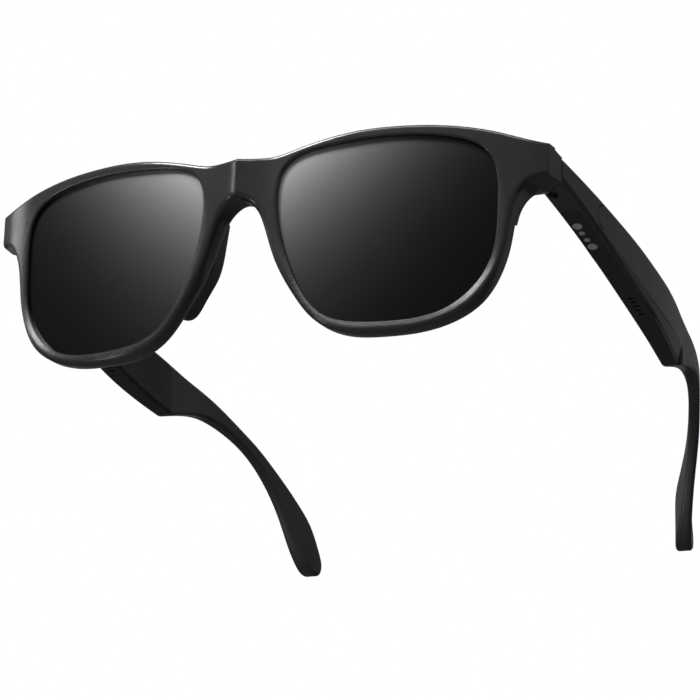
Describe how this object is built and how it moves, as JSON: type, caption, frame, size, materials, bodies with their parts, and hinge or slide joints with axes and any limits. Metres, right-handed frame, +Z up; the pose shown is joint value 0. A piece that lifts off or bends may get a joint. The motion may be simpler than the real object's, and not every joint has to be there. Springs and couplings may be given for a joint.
{
  "type": "audio smart glasses",
  "caption": "Sunglasses with rounded D-shaped tinted lenses, folding temples that hold open-ear speakers, a battery and a touch area, and charging contacts under each temple.",
  "frame": {"origin": "middle of the footprint, on the surface that the rims and the ear tips stand on", "axes": "+X towards the wearer's left, +Y from the front back along the temples, +Z up"},
  "size_m": [0.1568, 0.176, 0.0504],
  "materials": {
    "frame_plastic": "satin",
    "tinted_lens": "polished",
    "pad_plastic": "matte",
    "hinge_steel": "satin",
    "screw_steel": "satin",
    "temple_plastic": "satin",
    "cover_plastic": "fine matte",
    "contact_metal": "plated satin",
    "board_laminate": "solder mask",
    "battery_foil": "foil",
    "mesh_steel": "woven mesh",
    "gasket_foam": "foam",
    "speaker_case": "moulded",
    "sensor_foil": "etched film"
  },
  "bodies": {
    "front": {"front_frame": "frame_plastic", "lens_left": "tinted_lens", "lens_right": "tinted_lens", "nose_pad_left": "pad_plastic", "nose_pad_right": "pad_plastic", "hinge_tongue_left": "hinge_steel", "hinge_tongue_right": "hinge_steel", "leaf_screw_left": "screw_steel", "leaf_screw_right": "screw_steel"},
    "temple_left": {"temple_shell_left": "temple_plastic", "inner_cover_left": "cover_plastic", "bottom_cover_left": "cover_plastic", "hinge_fork_left": "hinge_steel", "hinge_screw_left": "screw_steel", "charging_magnets_left": "contact_metal", "charging_pins_left": "contact_metal", "circuit_board_left": "board_laminate", "battery_left": "battery_foil", "speaker_mesh_left": "mesh_steel", "speaker_gasket_left": "gasket_foam", "speaker_left": "speaker_case", "microphone_left": "speaker_case", "touch_sensor_left": "sensor_foil"},
    "temple_right": {"temple_shell_right": "temple_plastic", "inner_cover_right": "cover_plastic", "bottom_cover_right": "cover_plastic", "hinge_fork_right": "hinge_steel", "hinge_screw_right": "screw_steel", "charging_magnets_right": "contact_metal", "charging_pins_right": "contact_metal", "circuit_board_right": "board_laminate", "battery_right": "battery_foil", "speaker_mesh_right": "mesh_steel", "speaker_gasket_right": "gasket_foam", "speaker_right": "speaker_case", "microphone_right": "speaker_case", "touch_sensor_right": "sensor_foil"}
  },
  "joints": [
    {"name": "temple_left_fold", "type": "hinge", "parent": "front", "child": "temple_left", "pos_m": [0.07, -0.06094, 0.04146], "axis": [0, -0.1044, 0.9945], "range_deg": [0, 90]},
    {"name": "temple_right_fold", "type": "hinge", "parent": "front", "child": "temple_right", "pos_m": [-0.07, -0.06094, 0.04146], "axis": [0, 0.1044, -0.9945], "range_deg": [0, 84]}
  ]
}
